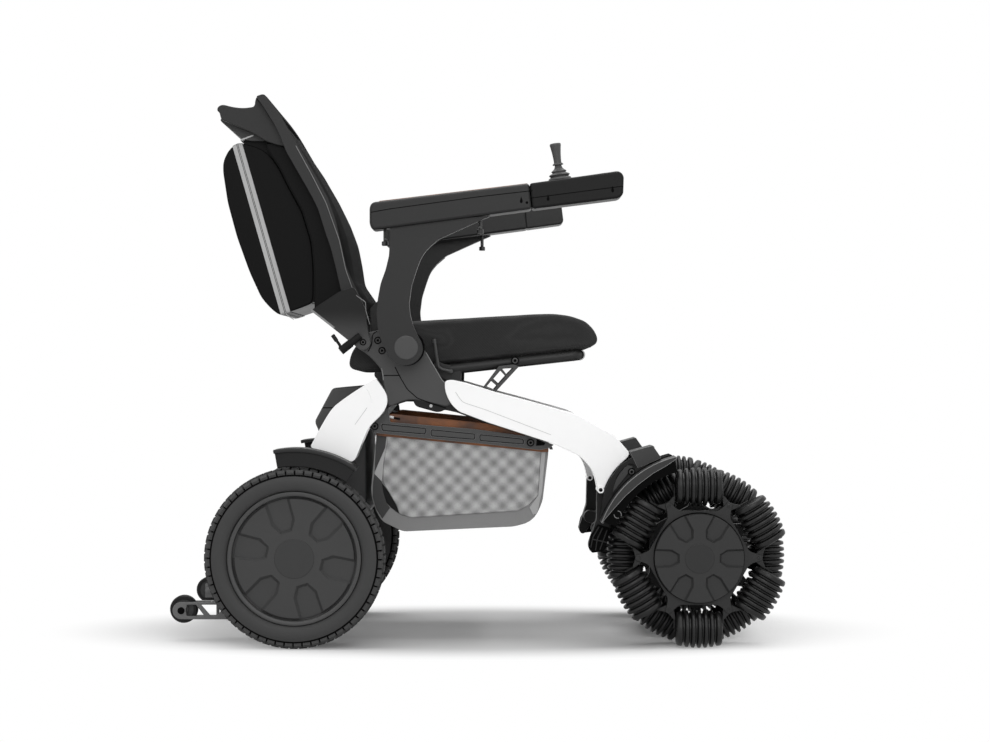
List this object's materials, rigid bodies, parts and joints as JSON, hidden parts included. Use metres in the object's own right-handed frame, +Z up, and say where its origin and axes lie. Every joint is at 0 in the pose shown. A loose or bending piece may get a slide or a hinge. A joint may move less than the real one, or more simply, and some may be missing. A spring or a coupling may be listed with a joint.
{
  "type": "all-terrain power wheelchair",
  "caption": "Power wheelchair with driven rear wheels, front wheels made of sideways rollers, flip-up armrests, a joystick, a folding backrest with a hard bag and a storage bag under the seat",
  "frame": {"origin": "on the ground, under the middle of the chair's length and width", "axes": "+X forward, the way the sitter faces; +Y to the sitter's left; +Z up"},
  "size_m": [1.105, 0.62, 0.984],
  "materials": {
    "satin_black": "satin",
    "cast_grey": "dark anodised cast metal",
    "hub_metal": "dark satin",
    "frame_black": "black powder coat",
    "rubber": "matte",
    "tyre": "matte",
    "gloss_white": "gloss",
    "fabric_black": "woven",
    "bag_cloth": "diamond mesh",
    "bag_shell": "soft gloss"
  },
  "bodies": {
    "frame": {"chassis_frame": "cast_grey", "battery_box": "satin_black", "anti_tip_frame": "cast_grey", "bag_frame": "cast_grey", "storage_bag": "bag_cloth", "seat_frame": "frame_black", "seat_cushion": "fabric_black", "front_cover_right": "gloss_white", "rear_cover_right": "gloss_white", "front_fender_right": "satin_black", "rear_fender_right": "satin_black", "front_cover_left": "gloss_white", "rear_cover_left": "gloss_white", "front_fender_left": "satin_black", "rear_fender_left": "satin_black"},
    "right_armrest": {"armrest_right": "satin_black", "controller_box": "satin_black"},
    "left_armrest": {"armrest_left": "satin_black"},
    "backrest": {"back_frame": "satin_black", "back_cushion": "fabric_black", "back_bag": "bag_shell"},
    "lock_pin": {"back_lock_pin": "frame_black"},
    "lever": {"seat_lever": "frame_black"},
    "foot_rest": {"footplate": "frame_black"},
    "stick_gimbal": {"joystick_gimbal": "satin_black"},
    "stick": {"joystick": "rubber"},
    "horn": {"horn_button": "rubber"},
    "power": {"power_button": "rubber"},
    "right_rear_wheel": {"rear_tyre_right": "tyre", "rear_hub_right": "hub_metal"},
    "left_rear_wheel": {"rear_tyre_left": "tyre", "rear_hub_left": "hub_metal"},
    "right_front_wheel": {"front_hub_right": "hub_metal"},
    "left_front_wheel": {"front_hub_left": "hub_metal"},
    "right_anti_tip": {"anti_tip_wheel_right": "rubber"},
    "left_anti_tip": {"anti_tip_wheel_left": "rubber"},
    "roller_right_outer_1_body": {"roller_right_outer_1": "rubber"},
    "roller_right_outer_2_body": {"roller_right_outer_2": "rubber"},
    "roller_right_outer_3_body": {"roller_right_outer_3": "rubber"},
    "roller_right_outer_4_body": {"roller_right_outer_4": "rubber"},
    "roller_right_outer_5_body": {"roller_right_outer_5": "rubber"},
    "roller_right_outer_6_body": {"roller_right_outer_6": "rubber"},
    "roller_right_inner_1_body": {"roller_right_inner_1": "rubber"},
    "roller_right_inner_2_body": {"roller_right_inner_2": "rubber"},
    "roller_right_inner_3_body": {"roller_right_inner_3": "rubber"},
    "roller_right_inner_4_body": {"roller_right_inner_4": "rubber"},
    "roller_right_inner_5_body": {"roller_right_inner_5": "rubber"},
    "roller_right_inner_6_body": {"roller_right_inner_6": "rubber"},
    "roller_left_outer_1_body": {"roller_left_outer_1": "rubber"},
    "roller_left_outer_2_body": {"roller_left_outer_2": "rubber"},
    "roller_left_outer_3_body": {"roller_left_outer_3": "rubber"},
    "roller_left_outer_4_body": {"roller_left_outer_4": "rubber"},
    "roller_left_outer_5_body": {"roller_left_outer_5": "rubber"},
    "roller_left_outer_6_body": {"roller_left_outer_6": "rubber"},
    "roller_left_inner_1_body": {"roller_left_inner_1": "rubber"},
    "roller_left_inner_2_body": {"roller_left_inner_2": "rubber"},
    "roller_left_inner_3_body": {"roller_left_inner_3": "rubber"},
    "roller_left_inner_4_body": {"roller_left_inner_4": "rubber"},
    "roller_left_inner_5_body": {"roller_left_inner_5": "rubber"},
    "roller_left_inner_6_body": {"roller_left_inner_6": "rubber"}
  },
  "joints": [
    {"name": "right_armrest_hinge", "type": "hinge", "parent": "frame", "child": "right_armrest", "pos_m": [-0.1215, 0, 0.529], "axis": [0, -1, 0], "range_deg": [0, 90]},
    {"name": "left_armrest_hinge", "type": "hinge", "parent": "frame", "child": "left_armrest", "pos_m": [-0.1215, 0, 0.529], "axis": [0, -1, 0], "range_deg": [0, 90]},
    {"name": "backrest_hinge", "type": "hinge", "parent": "frame", "child": "backrest", "pos_m": [-0.1995, 0, 0.539], "axis": [0, 1, 0], "range_deg": [0, 30]},
    {"name": "lock_pin_slide", "type": "slide", "parent": "backrest", "child": "lock_pin", "axis": [-0.7831, 0, -0.6219], "range_m": [0, 0.008], "stiffness_N_per_m": 400, "springref_m": -0.003},
    {"name": "seat_lever_hinge", "type": "hinge", "parent": "frame", "child": "lever", "pos_m": [-0.0445, 0, 0.488], "axis": [0, 1, 0], "range_deg": [0, 20], "stiffness_Nm_per_rad": 0.3, "springref_deg": -11.46},
    {"name": "footplate_hinge", "type": "hinge", "parent": "frame", "child": "foot_rest", "pos_m": [0.3075, 0, 0.098], "axis": [0, -1, 0], "range_deg": [0, 85]},
    {"name": "stick_forward", "type": "hinge", "parent": "right_armrest", "child": "stick_gimbal", "pos_m": [0.1495, -0.2683, 0.8246], "axis": [0, 1, 0], "range_deg": [-15, 15], "stiffness_Nm_per_rad": 0.4},
    {"name": "stick_sideways", "type": "hinge", "parent": "stick_gimbal", "child": "stick", "pos_m": [0.1495, -0.2683, 0.8246], "axis": [0.9907, 0, 0.1357], "range_deg": [-15, 15], "stiffness_Nm_per_rad": 0.4},
    {"name": "horn_press", "type": "slide", "parent": "right_armrest", "child": "horn", "axis": [0.1357, 0, -0.9907], "range_m": [0, 0.001], "stiffness_N_per_m": 300, "springref_m": -0.001},
    {"name": "power_press", "type": "slide", "parent": "right_armrest", "child": "power", "axis": [0.1357, 0, -0.9907], "range_m": [0, 0.001], "stiffness_N_per_m": 300, "springref_m": -0.001},
    {"name": "right_rear_wheel_spin", "type": "hinge", "parent": "frame", "child": "right_rear_wheel", "pos_m": [-0.3175, 0, 0.159], "axis": [0, 1, 0], "continuous": true},
    {"name": "left_rear_wheel_spin", "type": "hinge", "parent": "frame", "child": "left_rear_wheel", "pos_m": [-0.3175, 0, 0.159], "axis": [0, 1, 0], "continuous": true},
    {"name": "right_front_wheel_spin", "type": "hinge", "parent": "frame", "child": "right_front_wheel", "pos_m": [0.3935, 0, 0.159], "axis": [0, 1, 0], "continuous": true},
    {"name": "left_front_wheel_spin", "type": "hinge", "parent": "frame", "child": "left_front_wheel", "pos_m": [0.3935, 0, 0.159], "axis": [0, 1, 0], "continuous": true},
    {"name": "right_anti_tip_spin", "type": "hinge", "parent": "frame", "child": "right_anti_tip", "pos_m": [-0.5275, 0, 0.058], "axis": [0, 1, 0], "continuous": true},
    {"name": "left_anti_tip_spin", "type": "hinge", "parent": "frame", "child": "left_anti_tip", "pos_m": [-0.5275, 0, 0.058], "axis": [0, 1, 0], "continuous": true},
    {"name": "roller_right_outer_1_spin", "type": "hinge", "parent": "right_front_wheel", "child": "roller_right_outer_1_body", "pos_m": [0.50175, -0.276, 0.2215], "axis": [-0.5, 0, 0.866], "continuous": true},
    {"name": "roller_right_outer_2_spin", "type": "hinge", "parent": "right_front_wheel", "child": "roller_right_outer_2_body", "pos_m": [0.3935, -0.276, 0.284], "axis": [-1, 0, 0], "continuous": true},
    {"name": "roller_right_outer_3_spin", "type": "hinge", "parent": "right_front_wheel", "child": "roller_right_outer_3_body", "pos_m": [0.28525, -0.276, 0.2215], "axis": [-0.5, 0, -0.866], "continuous": true},
    {"name": "roller_right_outer_4_spin", "type": "hinge", "parent": "right_front_wheel", "child": "roller_right_outer_4_body", "pos_m": [0.28525, -0.276, 0.0965], "axis": [0.5, 0, -0.866], "continuous": true},
    {"name": "roller_right_outer_5_spin", "type": "hinge", "parent": "right_front_wheel", "child": "roller_right_outer_5_body", "pos_m": [0.3935, -0.276, 0.034], "axis": [1, 0, 0], "continuous": true},
    {"name": "roller_right_outer_6_spin", "type": "hinge", "parent": "right_front_wheel", "child": "roller_right_outer_6_body", "pos_m": [0.50175, -0.276, 0.0965], "axis": [0.5, 0, 0.866], "continuous": true},
    {"name": "roller_right_inner_1_spin", "type": "hinge", "parent": "right_front_wheel", "child": "roller_right_inner_1_body", "pos_m": [0.456, -0.214, 0.26725], "axis": [-0.866, 0, 0.5], "continuous": true},
    {"name": "roller_right_inner_2_spin", "type": "hinge", "parent": "right_front_wheel", "child": "roller_right_inner_2_body", "pos_m": [0.331, -0.214, 0.26725], "axis": [-0.866, 0, -0.5], "continuous": true},
    {"name": "roller_right_inner_3_spin", "type": "hinge", "parent": "right_front_wheel", "child": "roller_right_inner_3_body", "pos_m": [0.2685, -0.214, 0.159], "axis": [0, 0, -1], "continuous": true},
    {"name": "roller_right_inner_4_spin", "type": "hinge", "parent": "right_front_wheel", "child": "roller_right_inner_4_body", "pos_m": [0.331, -0.214, 0.05075], "axis": [0.866, 0, -0.5], "continuous": true},
    {"name": "roller_right_inner_5_spin", "type": "hinge", "parent": "right_front_wheel", "child": "roller_right_inner_5_body", "pos_m": [0.456, -0.214, 0.05075], "axis": [0.866, 0, 0.5], "continuous": true},
    {"name": "roller_right_inner_6_spin", "type": "hinge", "parent": "right_front_wheel", "child": "roller_right_inner_6_body", "pos_m": [0.5185, -0.214, 0.159], "axis": [0, 0, 1], "continuous": true},
    {"name": "roller_left_outer_1_spin", "type": "hinge", "parent": "left_front_wheel", "child": "roller_left_outer_1_body", "pos_m": [0.50175, 0.276, 0.2215], "axis": [-0.5, 0, 0.866], "continuous": true},
    {"name": "roller_left_outer_2_spin", "type": "hinge", "parent": "left_front_wheel", "child": "roller_left_outer_2_body", "pos_m": [0.3935, 0.276, 0.284], "axis": [-1, 0, 0], "continuous": true},
    {"name": "roller_left_outer_3_spin", "type": "hinge", "parent": "left_front_wheel", "child": "roller_left_outer_3_body", "pos_m": [0.28525, 0.276, 0.2215], "axis": [-0.5, 0, -0.866], "continuous": true},
    {"name": "roller_left_outer_4_spin", "type": "hinge", "parent": "left_front_wheel", "child": "roller_left_outer_4_body", "pos_m": [0.28525, 0.276, 0.0965], "axis": [0.5, 0, -0.866], "continuous": true},
    {"name": "roller_left_outer_5_spin", "type": "hinge", "parent": "left_front_wheel", "child": "roller_left_outer_5_body", "pos_m": [0.3935, 0.276, 0.034], "axis": [1, 0, 0], "continuous": true},
    {"name": "roller_left_outer_6_spin", "type": "hinge", "parent": "left_front_wheel", "child": "roller_left_outer_6_body", "pos_m": [0.50175, 0.276, 0.0965], "axis": [0.5, 0, 0.866], "continuous": true},
    {"name": "roller_left_inner_1_spin", "type": "hinge", "parent": "left_front_wheel", "child": "roller_left_inner_1_body", "pos_m": [0.456, 0.214, 0.26725], "axis": [-0.866, 0, 0.5], "continuous": true},
    {"name": "roller_left_inner_2_spin", "type": "hinge", "parent": "left_front_wheel", "child": "roller_left_inner_2_body", "pos_m": [0.331, 0.214, 0.26725], "axis": [-0.866, 0, -0.5], "continuous": true},
    {"name": "roller_left_inner_3_spin", "type": "hinge", "parent": "left_front_wheel", "child": "roller_left_inner_3_body", "pos_m": [0.2685, 0.214, 0.159], "axis": [0, 0, -1], "continuous": true},
    {"name": "roller_left_inner_4_spin", "type": "hinge", "parent": "left_front_wheel", "child": "roller_left_inner_4_body", "pos_m": [0.331, 0.214, 0.05075], "axis": [0.866, 0, -0.5], "continuous": true},
    {"name": "roller_left_inner_5_spin", "type": "hinge", "parent": "left_front_wheel", "child": "roller_left_inner_5_body", "pos_m": [0.456, 0.214, 0.05075], "axis": [0.866, 0, 0.5], "continuous": true},
    {"name": "roller_left_inner_6_spin", "type": "hinge", "parent": "left_front_wheel", "child": "roller_left_inner_6_body", "pos_m": [0.5185, 0.214, 0.159], "axis": [0, 0, 1], "continuous": true}
  ]
}
